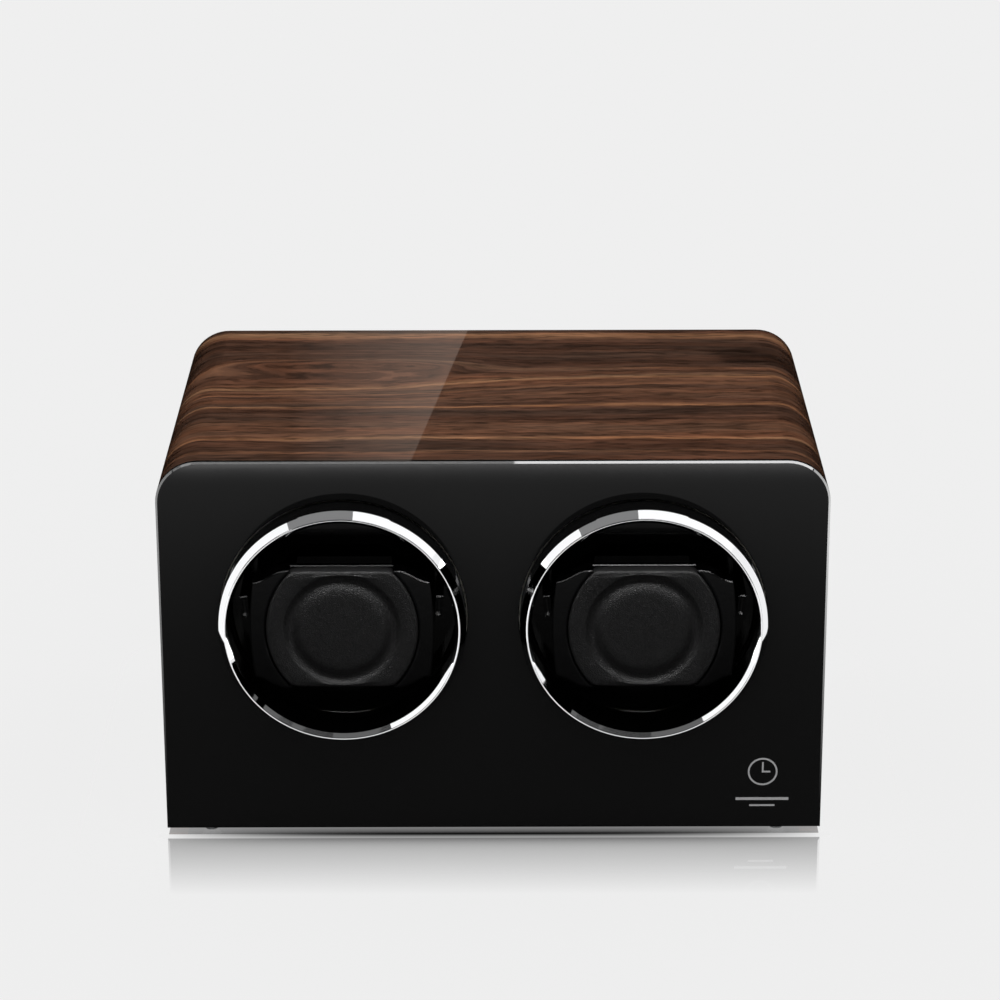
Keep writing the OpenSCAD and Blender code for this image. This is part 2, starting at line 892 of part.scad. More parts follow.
module control_screw_places() {
  for (side = [LEFT, RIGHT], up = [-1, 1])
    translate([side * (plate_w / 2 - 5), 0, control_z + up * (plate_h / 2 - 3.6)])
      children();
}

module control_plate_screws() {
  color(steel)
    control_screw_places()
      pan_screw(control_rear, control_rear - back_front, control_screw_r);
}

// Barrel socket for the power lead's plug, with its centre pin.
module power_inlet() {
  centre_pin_r = 1.05;
  color(soft_black)
    translate([inlet_x, 0, control_z]) {
      difference() {
        union() {
          block([-inlet_w / 2, inlet_w / 2], [board_rear, back_rear - 1],
                [-inlet_w / 2, inlet_w / 2]);
          rod(0, 0, inlet_w / 2 + 0.4, back_rear - 1, control_rear);
          rod(0, 0, inlet_w / 2 + 1.5, control_rear, control_rear + 1);
        }
        rod(0, 0, socket_r, control_rear - socket_d, control_rear + 2);
      }
      rod(0, 0, centre_pin_r, control_rear - socket_d - 1, control_rear - 0.5);
    }
}

module power_switch_housing() {
  bezel_w = 1.2;
  color(soft_black)
    translate([rocker_x, 0, control_z])
      difference() {
        union() {
          block([-switch_w / 2, switch_w / 2], [board_rear, control_rear],
                [-switch_h / 2, switch_h / 2]);
          block([-switch_w / 2 - bezel_w, switch_w / 2 + bezel_w],
                [control_rear, control_rear + bezel_w], [-switch_h / 2 - bezel_w, switch_h / 2 + bezel_w]);
        }
        block([-rocker_w / 2 - 0.3, rocker_w / 2 + 0.3], [control_rear - 9, control_rear + 3],
              [-rocker_half_h - 1, rocker_half_h + 1]);
        translate([-switch_w / 2 - 1, face_y + rocker_pivot, 0])
          rotate([0, 90, 0])
            cylinder(r = rocker_pin_r + running, h = switch_w + 2);
      }
}

// Rocker with its axle, tilted to its "off" side.
module power_rocker() {
  half = rocker_swing / 2;
  pin_long = switch_w - 0.6;
  color(soft_black)
    translate([rocker_x, face_y + rocker_pivot, control_z])
      rotate([half, 0, 0]) {
        rotate([90, 0, 90])
          translate([0, 0, -rocker_w / 2])
            linear_extrude(rocker_w)
              polygon([[-3, -4], [4.6, -rocker_half_h], [3.2, 0], [4.6, rocker_half_h], [-3, 4]]);
        translate([-pin_long / 2, 0, 0])
          rotate([0, 90, 0])
            cylinder(r = rocker_pin_r, h = pin_long);
      }
}

module selector_bodies() {
  half_w = 7;
  color(steel)
    for (side = [LEFT, RIGHT])
      translate([side * knob_x, 0, control_z])
        difference() {
          union() {
            block([-half_w, half_w], [board_rear, board_rear + half_w], [-half_w, half_w]);
            rod(0, 0, selector_neck_r, board_rear + half_w, back_rear + 1);
          }
          rod(0, 0, selector_shaft_r + running, board_rear + 1.5, back_rear + 2);
        }
}

module selector_shaft(side) {
  color(steel)
    rod(side * knob_x, control_z, selector_shaft_r, board_rear + 2, knob_back - knob_cap);
}

// Knurled knob with a pointer line.
module mode_knob(side) {
  grooves = 24;
  groove_r = 0.6;
  pointer_w = 1.2;
  color(soft_black)
    translate([side * knob_x, 0, control_z])
      difference() {
        union() {
          rod(0, 0, knob_r - 0.8, knob_front + knob_skirt, knob_back);
          rod(0, 0, knob_r, knob_front, knob_front + knob_skirt);
        }
        for (turn = [0:360 / grooves:359])
          rod((knob_r - 0.5) * cos(turn), (knob_r - 0.5) * sin(turn), groove_r,
              knob_front + knob_skirt, knob_back + 1);
        block([-pointer_w / 2, pointer_w / 2], [knob_back - 0.5, knob_back + 1], [2, knob_r]);
        rod(0, 0, selector_shaft_r, knob_front - 1, knob_back - knob_cap);
      }
}

module circuit_board() {
  color(board_green)
    difference() {
      block([-board_w / 2, board_w / 2], [board_front, board_rear],
            [control_z - board_h / 2, control_z + board_h / 2]);
      standoff_places()
        rod(0, 0, board_screw_r + 0.25, board_front - 1, board_rear + 1);
    }
}

module standoff_places() {
  for (side = [LEFT, RIGHT], up = [-1, 1])
    translate([side * (board_w / 2 - 4), 0, control_z + up * (board_h / 2 - 4)])
      children();
}

// Corner posts between the board and the control plate.
module board_standoffs() {
  color(nylon)
    standoff_places()
      difference() {
        rod(0, 0, standoff_r, board_rear, back_rear);
        rod(0, 0, board_screw_r, board_rear - 1, board_rear + 8);
      }
}

module board_screws() {
  color(steel)
    standoff_places()
      pan_screw(board_front, 9, board_screw_r, way = 1);
}

// A chip in a box on the front of the board: its middle's place, its size and its height.
module chip(x, z, size, height) {
  block([x - size[0] / 2, x + size[0] / 2], [board_front - height, board_front],
        [control_z + z - size[1] / 2, control_z + z + size[1] / 2]);
}

// Two plugs for the leads, the controller chip, a regulator and two capacitors.
module board_components() {
  capacitor_r = 2.6;
  color(soft_black) {
    for (side = [LEFT, RIGHT])
      chip(side * plug_x, plug_up, [8, 6], plug_d);
    chip(-3, 0, [12, 12], 2);
    chip(19.5, 2, [7, 10], 4.5);
    for (x = [-24, -17])
      rod(x, control_z + 5, capacitor_r, board_front - 8, board_front);
  }
}

// ---- Nodes ----

cabinet_wrap();
base_board();
front_panel();
front_board();
front_badge();
back_panel();
rear_cleats();
back_panel_screws();
bumper_feet();
drive_plate();
plate_battens();
chassis_screws();
spindle_bushes();
glide_rings();
chrome_rim(LEFT);  // chrome_rim_left
cup_wall(LEFT);  // cup_wall_left
cup_floor(LEFT);  // cup_floor_left
holder_catches(LEFT);  // holder_catches_left
spindle(LEFT);  // spindle_left
drive_gear(LEFT);  // drive_gear_left
retaining_ring(LEFT);  // retaining_ring_left
gearbox(LEFT);  // gearbox_left
motor_can(LEFT);  // motor_can_left
motor_pinion(LEFT);  // motor_pinion_left
chrome_rim(RIGHT);  // chrome_rim_right
cup_wall(RIGHT);  // cup_wall_right
cup_floor(RIGHT);  // cup_floor_right
holder_catches(RIGHT);  // holder_catches_right
spindle(RIGHT);  // spindle_right
drive_gear(RIGHT);  // drive_gear_right
retaining_ring(RIGHT);  // retaining_ring_right
gearbox(RIGHT);  // gearbox_right
motor_can(RIGHT);  // motor_can_right
motor_pinion(RIGHT);  // motor_pinion_right
cushion(LEFT);  // cushion_left
holder_frame(LEFT);  // holder_frame_left
rear_saddle(LEFT);  // rear_saddle_left
saddle_springs(LEFT);  // saddle_springs_left
guide_pins(LEFT);  // guide_pins_left
cushion(RIGHT);  // cushion_right
holder_frame(RIGHT);  // holder_frame_right
rear_saddle(RIGHT);  // rear_saddle_right
saddle_springs(RIGHT);  // saddle_springs_right
guide_pins(RIGHT);  // guide_pins_right
control_plate();
control_plate_screws();
power_inlet();
power_switch_housing();
power_rocker();
selector_bodies();
selector_shaft(LEFT);  // selector_shaft_left
selector_shaft(RIGHT);  // selector_shaft_right
mode_knob(LEFT);  // mode_knob_left
mode_knob(RIGHT);  // mode_knob_right
circuit_board();
board_components();
board_standoffs();
board_screws();
motor_leads(LEFT);  // motor_leads_left
motor_leads(RIGHT);  // motor_leads_right
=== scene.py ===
"""Looks for a table-top winder for two watches: lacquered walnut cabinet, black glass front, chrome
rims and leatherette holders, on a pale studio floor. All lengths are metres in the CAD frame."""
import json
import math

import bmesh
import bpy
from mathutils import Matrix, Vector


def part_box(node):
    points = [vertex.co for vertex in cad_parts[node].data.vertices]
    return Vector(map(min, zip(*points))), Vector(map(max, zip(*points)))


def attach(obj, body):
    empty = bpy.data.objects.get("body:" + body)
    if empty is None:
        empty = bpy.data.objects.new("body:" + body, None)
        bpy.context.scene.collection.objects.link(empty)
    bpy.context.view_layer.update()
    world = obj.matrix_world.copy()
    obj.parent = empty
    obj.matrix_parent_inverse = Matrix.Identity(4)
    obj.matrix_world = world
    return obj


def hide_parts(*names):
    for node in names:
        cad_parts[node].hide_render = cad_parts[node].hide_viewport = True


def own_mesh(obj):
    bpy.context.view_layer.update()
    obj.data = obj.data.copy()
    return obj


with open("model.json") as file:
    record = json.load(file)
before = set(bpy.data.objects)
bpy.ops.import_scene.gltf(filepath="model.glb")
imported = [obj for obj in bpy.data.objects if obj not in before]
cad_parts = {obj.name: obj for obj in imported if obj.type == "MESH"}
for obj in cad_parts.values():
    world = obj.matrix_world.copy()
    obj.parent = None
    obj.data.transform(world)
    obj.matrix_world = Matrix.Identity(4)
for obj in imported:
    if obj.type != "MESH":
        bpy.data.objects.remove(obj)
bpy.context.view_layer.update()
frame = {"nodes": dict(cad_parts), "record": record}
MM = 0.001
SIDES = ("left", "right")

# ---- Places read from the frame ----
WRAP_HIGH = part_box("cabinet_wrap")[1]
FACE_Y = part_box("front_panel")[0].y
REAR_Y = WRAP_HIGH.y
TOP_Z = WRAP_HIGH.z
HALF_W = WRAP_HIGH.x
CORNER_R = 20 * MM


def centre_of(node):
    low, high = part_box(node)
    return (low + high) / 2


# ---- Shader graphs ----

class Graph:
    """A material's node tree, with short calls for the nodes used here."""

    def __init__(self, name):
        self.material = bpy.data.materials.new(name)
        self.material.use_nodes = True
        self.tree = self.material.node_tree
        self.tree.nodes.clear()
        self.out = self.tree.nodes.new("ShaderNodeOutputMaterial")
        self.shader = self.tree.nodes.new("ShaderNodeBsdfPrincipled")
        self.tree.links.new(self.shader.outputs[0], self.out.inputs["Surface"])

    def put(self, socket, value):
        if isinstance(value, bpy.types.NodeSocket):
            self.tree.links.new(value, socket)
        elif isinstance(value, tuple) and len(value) == 3 and len(socket.default_value) == 4:
            socket.default_value = (*value, 1.0)
        else:
            socket.default_value = value

    def set(self, **values):
        """Sets the shader's inputs, named with _ for a space."""
        for name, value in values.items():
            self.put(self.shader.inputs[name.replace("_", " ")], value)
        return self

    def add(self, kind, inputs=(), out=0, **props):
        n = self.tree.nodes.new("ShaderNode" + kind)
        for name, value in props.items():
            setattr(n, name, value)
        for key, value in dict(inputs).items():
            self.put(n.inputs[key], value)
        return n.outputs[out]

    def place(self):
        """The point on the piece, in metres."""
        return self.add("TexCoord", out=3)

    def split(self, vector):
        n = self.tree.nodes.new("ShaderNodeSeparateXYZ")
        self.tree.links.new(vector, n.inputs[0])
        return n.outputs

    def join(self, x, y, z):
        return self.add("CombineXYZ", {0: x, 1: y, 2: z})

    def math(self, operation, a, b=0.0, c=0.0):
        return self.add("Math", {0: a, 1: b, 2: c}, operation=operation)

    def scaled(self, vector, factors):
        return self.add("VectorMath", {0: vector, 1: factors}, operation="MULTIPLY")

    def noise(self, vector, scale, detail=2.0, roughness=0.5, distortion=0.0):
        return self.add("TexNoise", {"Vector": vector, "Scale": scale, "Detail": detail,
                                     "Roughness": roughness, "Distortion": distortion})

    def cells(self, vector, scale, feature="F1", randomness=1.0):
        return self.add("TexVoronoi", {"Vector": vector, "Scale": scale,
                                       "Randomness": randomness}, feature=feature)

    def remap(self, value, low, high, to_low=0.0, to_high=1.0):
        return self.add("MapRange", {0: value, 1: low, 2: high, 3: to_low, 4: to_high})

    def ramp(self, value, stops, interpolation="LINEAR"):
        n = self.tree.nodes.new("ShaderNodeValToRGB")
        n.color_ramp.interpolation = interpolation
        while len(n.color_ramp.elements) < len(stops):
            n.color_ramp.elements.new(0.5)
        for element, (position, colour) in zip(n.color_ramp.elements, stops):
            element.position = position
            element.color = (*colour, 1.0)
        self.tree.links.new(value, n.inputs[0])
        return n.outputs[0]

    def mix(self, factor, a, b, blend="MIX"):
        n = self.tree.nodes.new("ShaderNodeMix")
        n.data_type = "RGBA"
        n.blend_type = blend
        for index, value in ((0, factor), (6, a), (7, b)):
            self.put(n.inputs[index], value)
        return n.outputs[2]

    def bump(self, height, distance, strength=1.0, normal=None):
        inputs = {"Height": height, "Distance": distance, "Strength": strength}
        if normal is not None:
            inputs["Normal"] = normal
        return self.add("Bump", inputs)

    def rounded(self, radius):
        """Normals that shade sharp edges as if they were rounded to this radius."""
        return self.add("Bevel", {"Radius": radius}, samples=6)


# ---- Materials ----

WOOD_DARK = (0.068, 0.033, 0.0200)
WOOD_BROWN = (0.098, 0.046, 0.0272)
WOOD_MID = (0.141, 0.064, 0.0345)
WOOD_TAN = (0.190, 0.087, 0.0450)
WOOD_PALE = (0.300, 0.150, 0.0740)
# The veneer's figure: depth behind the front edge in mm, and the colour there.
FIGURE = (
    (0, WOOD_BROWN), (12, WOOD_BROWN), (14, WOOD_TAN), (17, WOOD_DARK), (31, WOOD_BROWN),
    (34, WOOD_PALE), (37, WOOD_MID), (56, WOOD_MID), (61, WOOD_DARK), (65, WOOD_BROWN),
    (72, WOOD_DARK), (79, WOOD_BROWN), (81.5, WOOD_PALE), (84, WOOD_BROWN), (97, WOOD_MID),
    (104, WOOD_BROWN), (107, WOOD_TAN), (109, WOOD_MID), (117, WOOD_MID), (120.5, WOOD_PALE),
    (125, WOOD_MID), (134, WOOD_BROWN), (138, WOOD_TAN), (141, WOOD_BROWN), (150, WOOD_DARK),
    (163, WOOD_BROWN), (178, WOOD_DARK), (187, WOOD_BROWN), (191, WOOD_TAN), (198, WOOD_PALE),
    (201, WOOD_BROWN), (206, WOOD_DARK))
# Smooth shifts of the figure: centre and size along and across the grain, and rise, in mm.
SHIFTS = (((-74, 150), (68, 14), -21), ((-100, 110), (80, 24), 12), ((105, 116), (90, 24), -9))
# Small dark knots: centre and size along and across the grain, in mm.
KNOTS = (((121, 168), (13, 2.8)), ((126, 151), (11, 2.4)), ((132, 160), (22, 9)))
KNOT_SHADE = 0.42


def unrolled(g):
    """(along, across): the veneer laid flat, from the middle of the top down the sides."""
    x, y, z = g.split(g.place())
    flat = HALF_W - CORNER_R
    bend_z = TOP_Z - CORNER_R
    reach = g.math("ABSOLUTE", x)
    over = g.math("MAXIMUM", g.math("SUBTRACT", reach, flat), 0.0)
    rise = g.math("MAXIMUM", g.math("SUBTRACT", z, bend_z), 0.0)
    turn = g.math("MULTIPLY", g.math("ARCTAN2", over, g.math("ADD", rise, 1e-6)), CORNER_R)
    drop = g.math("MAXIMUM", g.math("SUBTRACT", bend_z, z), 0.0)
    length = g.math("ADD", g.math("MINIMUM", reach, flat), g.math("ADD", turn, drop))
    along = g.math("MULTIPLY", length, g.math("SIGN", x))
    return along, g.math("SUBTRACT", y, FACE_Y)


def bell(g, along, across, centre, size):
    """1 at the centre, falling smoothly to 0 about one size away."""
    du = g.math("DIVIDE", g.math("SUBTRACT", along, centre[0] * MM), size[0] * MM)
    dv = g.math("DIVIDE", g.math("SUBTRACT", across, centre[1] * MM), size[1] * MM)
    spread = g.math("ADD", g.math("POWER", g.math("ABSOLUTE", du), 4.0), g.math("MULTIPLY", dv, dv))
    return g.math("EXPONENT", g.math("MULTIPLY", spread, -1.0))


def grain(g, along, across, fineness, detail=2.0, seed=0.0):
    """Noise drawn out along the grain; fineness is features per metre along and across."""
    stretched = g.join(g.math("MULTIPLY", along, fineness[0]),
                       g.math("MULTIPLY", across, fineness[1]), seed)
    return g.noise(stretched, 1.0, detail, 0.6)


def walnut():
    g = Graph("walnut_lacquer")
    along, across = unrolled(g)
    bent = across
    for centre, size, rise in SHIFTS:
        lift = g.math("MULTIPLY", bell(g, along, across, centre, size), rise * MM)
        bent = g.math("ADD", bent, lift)
    bent = g.math("ADD", bent, g.remap(grain(g, along, across, (9, 22)), 0, 1, -5 * MM, 5 * MM))
    ripple = grain(g, along, across, (45, 120), 3.0, 3.0)
    bent = g.math("ADD", bent, g.remap(ripple, 0, 1, -2.2 * MM, 2.2 * MM))
    depth = REAR_Y - FACE_Y
    figure = g.ramp(g.math("DIVIDE", bent, depth), [(d * MM / depth, c) for d, c in FIGURE])
    streak = g.remap(grain(g, along, bent, (15, 240), 4.0, 7.0), 0.32, 0.68, 0.58, 1.66)
    fine = g.remap(grain(g, along, bent, (50, 520), 2.0, 1.0), 0.28, 0.72, -0.36, 0.36)
    pores = g.remap(grain(g, along, bent, (90, 760), 0.0, 5.0), 0.56, 0.68, 1.0, 0.56)
    shade = g.math("MULTIPLY", g.math("ADD", streak, fine), pores)
    for centre, size in KNOTS:
        knot = g.remap(bell(g, along, bent, centre, size), 0.0, 1.0, 1.0, KNOT_SHADE)
        shade = g.math("MULTIPLY", shade, knot)
    tint = g.ramp(grain(g, along, bent, (6, 90), 2.0, 9.0),
                  [(0.35, (0.90, 1.0, 1.08)), (0.65, (1.12, 0.97, 0.88))])
    colour = g.mix(1.0, figure, tint, "MULTIPLY")
    colour = g.mix(1.0, colour, g.join(shade, shade, shade), "MULTIPLY")
    g.set(Base_Color=colour, Roughness=0.42, Specular_IOR_Level=0.15,
          Coat_Weight=1.0, Coat_Roughness=0.012, Coat_IOR=1.5)
    g.set(Normal=g.bump(shade, 0.02 * MM, 0.5))
    return g.material


def worn(g, low, high, scale=60.0):
    """Roughness with faint smudges, from low to high."""
    return g.remap(g.noise(g.place(), scale, 3.0, 0.6), 0.35, 0.7, low, high)


def gloss(name, colour, low, high, edge, peel=0.0):
    """Smooth black: edge is the rounding of its edges, peel the height of the orange peel."""
    g = Graph(name)
    normal = g.rounded(edge)
    if peel:
        normal = g.bump(g.noise(g.place(), 260.0, 1.0), peel, normal=normal)
    g.set(Base_Color=colour, Roughness=worn(g, low, high), Specular_IOR_Level=0.5, Normal=normal)
    return g.material


def speckled(g, colour, amount, scale):
    """The colour varied by a fine noise."""
    light = tuple(min(1.0, c * (1 + amount)) for c in colour)
    dark = tuple(c * (1 - amount) for c in colour)
    return g.ramp(g.noise(g.place(), scale, 4.0, 0.6), [(0.35, dark), (0.65, light)])


def moulded(name, colour, roughness=0.42, texture=0.03 * MM):
    """Plastic with a fine spark-eroded texture."""
    g = Graph(name)
    grain = g.noise(g.place(), 4200.0, 2.0)
    g.set(Base_Color=speckled(g, colour, 0.12, 900.0), Roughness=worn(g, roughness, roughness + 0.12),
          Specular_IOR_Level=0.45, Normal=g.bump(grain, texture, 0.6, g.rounded(0.4 * MM)))
    return g.material


def brushed(name, colour, roughness, along=(40.0, 2600.0, 2600.0)):
    """Metal with fine drawn lines."""
    g = Graph(name)
    lines = g.noise(g.scaled(g.place(), along), 1.0, 3.0)
    g.set(Base_Color=speckled(g, colour, 0.06, 160.0), Metallic=1.0,
          Roughness=g.remap(lines, 0.3, 0.7, roughness * 0.8, roughness * 1.3),
          Normal=g.bump(lines, 0.01 * MM, 0.5))
    return g.material


def chrome():
    g = Graph("chrome")
    g.set(Base_Color=(0.87, 0.875, 0.885), Metallic=1.0, Roughness=worn(g, 0.015, 0.05, 90.0))
    return g.material


def silver():
    """Printed silver: satin, so that it stays bright against the dark room."""
    g = Graph("badge_silver")
    fleck = g.cells(g.place(), 9000.0)
    g.set(Base_Color=speckled(g, (0.40, 0.40, 0.405), 0.1, 1500.0), Metallic=0.25,
          Roughness=0.5, Normal=g.bump(fleck, 0.01 * MM))
    return g.material


def leather():
    g = Graph("leatherette")
    p = g.place()
    warp = g.noise(p, 500.0, 2.0)
    shifted = g.add("VectorMath", {0: p, 1: g.scaled(warp, (0.5 * MM,) * 3)}, operation="ADD")
    pebble = g.cells(shifted, 1150.0, "DISTANCE_TO_EDGE")
    ridge = g.remap(pebble, 0.0, 0.22, 0.0, 1.0)
    fold = g.noise(g.scaled(p, (1.0, 1.0, 1.6)), 120.0, 4.0, 0.6)
    height = g.math("ADD", ridge, g.math("MULTIPLY", fold, 1.6))
    # Painted shade: the creases between the pebbles are darker than the pebbles' tops.
    colour = g.ramp(ridge, [(0.0, (0.002, 0.002, 0.0021)), (1.0, (0.0080, 0.0078, 0.0080))])
    g.set(Base_Color=colour, Roughness=g.remap(ridge, 0.0, 1.0, 0.55, 0.40),
          Specular_IOR_Level=0.5, Normal=g.bump(height, 0.15 * MM, 0.8))
    return g.material


def flock():
    g = Graph("velvet_black")
    pile = g.noise(g.place(), 2600.0, 3.0, 0.7)
    g.set(Base_Color=speckled(g, (0.005, 0.005, 0.0052), 0.4, 1400.0), Roughness=0.95,
          Specular_IOR_Level=0.1, Sheen_Weight=0.06, Sheen_Roughness=0.4,
          Normal=g.bump(pile, 0.12 * MM))
    return g.material


def fibreboard(name, colour, amount=0.25):
    g = Graph(name)
    fibres = g.noise(g.scaled(g.place(), (300.0, 900.0, 1600.0)), 1.0, 4.0, 0.7)
    g.set(Base_Color=speckled(g, colour, amount, 1200.0), Roughness=g.remap(fibres, 0, 1, 0.7, 0.9),
          Specular_IOR_Level=0.3,
          Normal=g.bump(fibres, 0.05 * MM, 0.7, g.rounded(0.4 * MM)))
    return g.material


def clear_rubber():
    g = Graph("clear_rubber")
    g.set(Base_Color=(0.93, 0.94, 0.95), Roughness=worn(g, 0.08, 0.2, 900.0),
          Transmission_Weight=0.85, IOR=1.47)
    return g.material


def circuit():
    g = Graph("circuit_green")
    x, _, z = g.split(g.place())
    rows = g.math("ABSOLUTE", g.math("SINE", g.math("MULTIPLY", z, 1900.0)))
    columns = g.noise(g.join(g.math("MULTIPLY", x, 120.0), 0.0, g.math("MULTIPLY", z, 900.0)), 1.0)
    track = g.math("MULTIPLY", g.remap(rows, 0.80, 0.86), g.remap(columns, 0.5, 0.52))
    colour = g.mix(track, (0.010, 0.075, 0.035), (0.03, 0.17, 0.075))
    g.set(Base_Color=colour, Roughness=0.28, Normal=g.bump(track, 0.03 * MM))
    return g.material


def insulation():
    g = Graph("lead_red")
    g.set(Base_Color=speckled(g, (0.42, 0.035, 0.03), 0.12, 700.0), Roughness=worn(g, 0.3, 0.45))
    return g.material


MATERIALS = {
    "walnut_lacquer": walnut(),
    "black_glass": gloss("black_glass", (0.0060, 0.0060, 0.0060), 0.012, 0.03, 0.22 * MM),
    "black_lacquer": gloss("black_lacquer", (0.0012, 0.0012, 0.0013), 0.05, 0.12, 1.4 * MM,
                           0.02 * MM),
    "board": fibreboard("board", (0.40, 0.28, 0.18)),
    "black_board": fibreboard("black_board", (0.022, 0.021, 0.021), 0.35),
    "chrome": chrome(),
    "badge_silver": silver(),
    "leatherette": leather(),
    "satin_black": moulded("satin_black", (0.007, 0.007, 0.0073), 0.26),
    "velvet_black": flock(),
    "steel": brushed("steel", (0.62, 0.62, 0.63), 0.28),
    "spring_steel": brushed("spring_steel", (0.5, 0.5, 0.51), 0.22),
    "bronze": brushed("bronze", (0.58, 0.38, 0.19), 0.38),
    "nylon": moulded("nylon", (0.78, 0.75, 0.68), 0.38),
    "clear_rubber": clear_rubber(),
    "circuit_green": circuit(),
    "chip_black": moulded("chip_black", (0.03, 0.03, 0.032), 0.5),
    "lead_red": insulation(),
}
SLOT_OF = {row["node"]: row["material_slot"] for row in frame["record"]["subparts"]}


for node, obj in frame["nodes"].items():
    obj.data.materials.clear()
    obj.data.materials.append(MATERIALS[SLOT_OF[node]])


# ---- Meshes ----

def new_object(name, points, faces, material, smooth=True):
    mesh = bpy.data.meshes.new(name)
    mesh.from_pydata([tuple(p) for p in points], [], faces)
    mesh.validate()
    if smooth:
        mesh.shade_smooth()
    mesh.materials.append(material)
    obj = bpy.data.objects.new(name, mesh)
    bpy.context.scene.collection.objects.link(obj)
    return obj


def ring_faces(rings, count):
    """Quads between rings of points."""
    return [(i * count + k, i * count + (k + 1) % count, (i + 1) * count + (k + 1) % count,
             (i + 1) * count + k) for i in range(rings - 1) for k in range(count)]


# ---- Fillets ----

# As in part.scad.
CUP_WALL = 2.4 * MM
FILLET_R = 1.3 * MM
FILLET_STEPS = 8
FILLET_AROUND = 180


def make_fillet(side):
    """The moulded round between the cup's wall and its floor."""
    wall_low, wall_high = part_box("cup_wall_" + side)
    inner_r = (wall_high.x - wall_low.x) / 2 - CUP_WALL
    middle = centre_of("cup_wall_" + side)
    floor_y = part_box("cup_floor_" + side)[0].y
    turns = [math.pi / 2 * i / FILLET_STEPS for i in range(FILLET_STEPS + 1)]
    profile = [(inner_r - FILLET_R * (1 - math.cos(t)), floor_y - FILLET_R * (1 - math.sin(t)))
               for t in turns]
    profile += [(inner_r - FILLET_R, floor_y + 0.3 * MM), (inner_r + 0.3 * MM, floor_y + 0.3 * MM),
                (inner_r + 0.3 * MM, floor_y - FILLET_R), profile[0]]
    around = [2 * math.pi * k / FILLET_AROUND for k in range(FILLET_AROUND)]
    points = [(middle.x + r * math.sin(a), y, middle.z + r * math.cos(a))
              for r, y in profile for a in around]
    ring = new_object("cup_fillet_" + side, points, ring_faces(len(profile), FILLET_AROUND),
                      MATERIALS["black_lacquer"])
    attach(ring, "rotor_" + side)
    return ring


FILLETS = [make_fillet(side) for side in SIDES]


# ---- Springs ----


def make_springs(side):
    """The coils behind a saddle: a copy of the CAD coils that rides with the holder."""
    node = "saddle_springs_" + side
    springs = bpy.data.objects.new("springs_" + side, frame["nodes"][node].data.copy())
    bpy.context.scene.collection.objects.link(springs)
    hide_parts(node)
    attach(springs, "holder_" + side)
    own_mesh(springs)


for each_side in SIDES:
    make_springs(each_side)


# ---- Padded fronts ----

# The pad's outline and depth, in mm: two arcs at its sides and a flat top and bottom.
PAD_HALF_H = 28.9
PAD_ARC_R = 41.0
PAD_ARC_AT = 5.5
PAD_DEEP = 8.0
PAD_EDGE = 1.6
PAD_INSET = 0.35
PAD_AROUND = 192
# How square the pad's corners are, and where its flat top and bottom stop mattering.
PAD_CORNER = 34.0
PAD_FAR = 200.0
FIELD_R = 27.3
# Radius and height of the pressed middle, in mm: raised round centre, then the groove round it.
PAD_PRESSING = (
    (1.2, 0.95), (3.5, 0.94), (6, 0.92), (8.5, 0.88), (11, 0.83), (13.5, 0.76), (15.5, 0.67),
    (17.2, 0.55), (18.6, 0.36), (19.8, 0.02), (20.7, -0.5), (21.5, -1.1), (22.3, -1.65),
    (23.2, -2.0), (24.2, -2.08), (25.1, -1.85), (25.9, -1.3), (26.5, -0.7), (26.9, -0.36),
    (FIELD_R, -0.18))


def pad_reach(angle, inset):
    """Distance from the middle of the pad to its outline."""
    c, s = abs(math.cos(angle)), abs(math.sin(angle))
    arc_r = PAD_ARC_R - inset
    to_arc = math.sqrt(arc_r ** 2 - (PAD_ARC_AT * s) ** 2) - PAD_ARC_AT * c
    to_flat = (PAD_HALF_H - inset) / max(s, 1e-6)
    if to_flat > PAD_FAR:
        return to_arc
    return (to_arc ** -PAD_CORNER + to_flat ** -PAD_CORNER) ** (-1 / PAD_CORNER)


def pad_rings():
    """Rings of (x, z, height) from the middle of the front over the edge to the back."""
    angles = [2 * math.pi * k / PAD_AROUND for k in range(PAD_AROUND)]
    rings = []

    def ring(reach, height):
        rings.append([(reach(a) * math.cos(a), reach(a) * math.sin(a), height) for a in angles])

    for r, h in PAD_PRESSING:
        ring(lambda a, r=r: r, h)
    steps = 9
    for i in range(1, steps + 1):
        t = i / steps
        ring(lambda a, t=t: FIELD_R + (pad_reach(a, PAD_INSET + PAD_EDGE) - FIELD_R) * t,
             -0.18 + 0.30 * math.sin(math.pi * t))
    for i in range(1, 6):
        turn = math.pi / 2 * i / 5
        ring(lambda a, turn=turn: pad_reach(a, PAD_INSET + PAD_EDGE * (1 - math.sin(turn))),
             -0.18 - PAD_EDGE * (1 - math.cos(turn)))
    for h in (-3.2, -4.8, -6.4):
        ring(lambda a: pad_reach(a, PAD_INSET), h)
    for inset, h in ((PAD_INSET, 0.1 - PAD_DEEP), (6, 0.1 - PAD_DEEP), (18, 0.1 - PAD_DEEP)):
        ring(lambda a, inset=inset: pad_reach(a, inset), h)
    return rings


def pad_mesh(name, material):
    """The closed pad, centred on the origin, with its front towards -Y at y = 0."""
    rings = pad_rings()
    points = [(x * MM, -h * MM, z * MM) for r in rings for x, z, h in r]
    faces = ring_faces(len(rings), PAD_AROUND)
    faces.append(tuple(range(PAD_AROUND))[::-1])
    last = (len(rings) - 1) * PAD_AROUND
    faces.append(tuple(last + k for k in range(PAD_AROUND)))
    return new_object(name, points, faces, material)


# The cloth simulation: how long, how hard, how far, and what is held still.
CLOTH_FRAMES = 20
PAD_PRESSURE = 2.5
PAD_CAP = 0.5 * MM
PIN_GROOVE = (22.5 * MM, 25.3 * MM)
PIN_DEPTH = 2.4 * MM


def is_pinned(point):
    """The pad is glued at its back and pressed down along its groove."""
    radius = math.hypot(point.x, point.z)
    return point.y > PIN_DEPTH or PIN_GROOVE[0] < radius < PIN_GROOVE[1]


